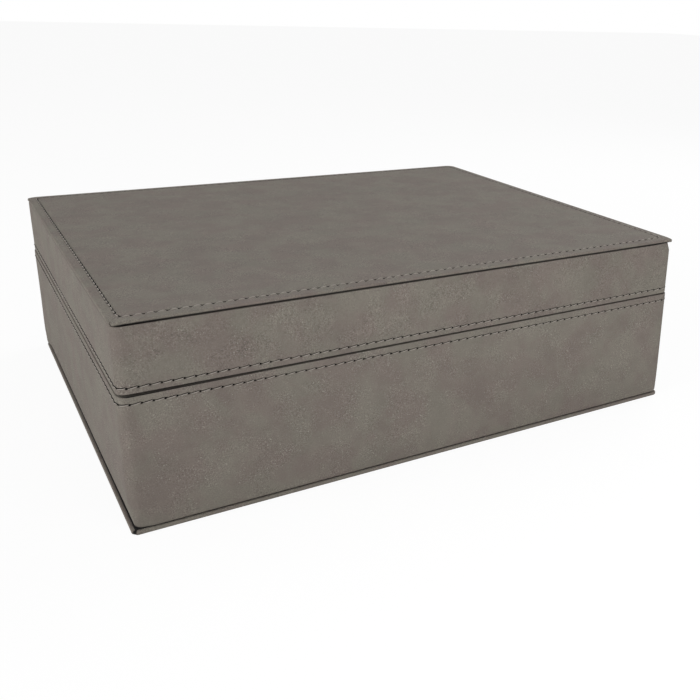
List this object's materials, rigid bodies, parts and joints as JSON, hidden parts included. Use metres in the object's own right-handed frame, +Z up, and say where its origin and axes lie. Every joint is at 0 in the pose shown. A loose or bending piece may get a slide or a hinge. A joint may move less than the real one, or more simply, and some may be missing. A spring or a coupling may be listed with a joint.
{
  "type": "hinged gift box",
  "caption": "Low rectangular gift box in stitched leatherette over wooden walls, with thin wrapped top and bottom boards, a hinged lid and a lined inside for papers and keepsakes.",
  "frame": {"origin": "centre of the bounding box's footprint, on the surface the box stands on", "axes": "+X along the long front to the right, +Y from the front to the hinged back, +Z up"},
  "size_m": [0.305, 0.253, 0.0983],
  "materials": {
    "leatherette": "matte, suede-like, softly mottled",
    "thread": "matte twisted thread",
    "wall_wood": "raw fibreboard",
    "board_core": "raw grey board",
    "lining_cloth": "short-pile velour",
    "hinge_steel": "satin nickel plated",
    "magnet_plating": "bright nickel plated"
  },
  "bodies": {
    "base": {"base_board": "board_core", "base_board_wrap": "leatherette", "base_front_wall": "wall_wood", "base_back_wall": "wall_wood", "base_left_wall": "wall_wood", "base_right_wall": "wall_wood", "base_wall_wrap": "leatherette", "base_wall_stitching": "thread", "base_front_lining": "lining_cloth", "base_back_lining": "lining_cloth", "base_left_lining": "lining_cloth", "base_right_lining": "lining_cloth", "base_floor_pad": "lining_cloth", "base_magnets": "magnet_plating", "left_hinge_base_leaf": "hinge_steel", "right_hinge_base_leaf": "hinge_steel", "left_hinge_pin": "hinge_steel", "right_hinge_pin": "hinge_steel", "base_hinge_screws": "hinge_steel"},
    "lid": {"lid_board": "board_core", "lid_board_wrap": "leatherette", "lid_board_stitching": "thread", "lid_front_wall": "wall_wood", "lid_back_wall": "wall_wood", "lid_left_wall": "wall_wood", "lid_right_wall": "wall_wood", "lid_wall_wrap": "leatherette", "lid_wall_stitching": "thread", "lid_front_lining": "lining_cloth", "lid_back_lining": "lining_cloth", "lid_left_lining": "lining_cloth", "lid_right_lining": "lining_cloth", "lid_ceiling_pad": "lining_cloth", "lid_magnets": "magnet_plating", "left_hinge_lid_leaf": "hinge_steel", "right_hinge_lid_leaf": "hinge_steel", "lid_hinge_screws": "hinge_steel"}
  },
  "joints": [
    {"name": "lid_hinge", "type": "hinge", "parent": "base", "child": "lid", "pos_m": [0, 0.1254, 0.06585], "axis": [-1, 0, 0], "range_deg": [0, 100]}
  ]
}
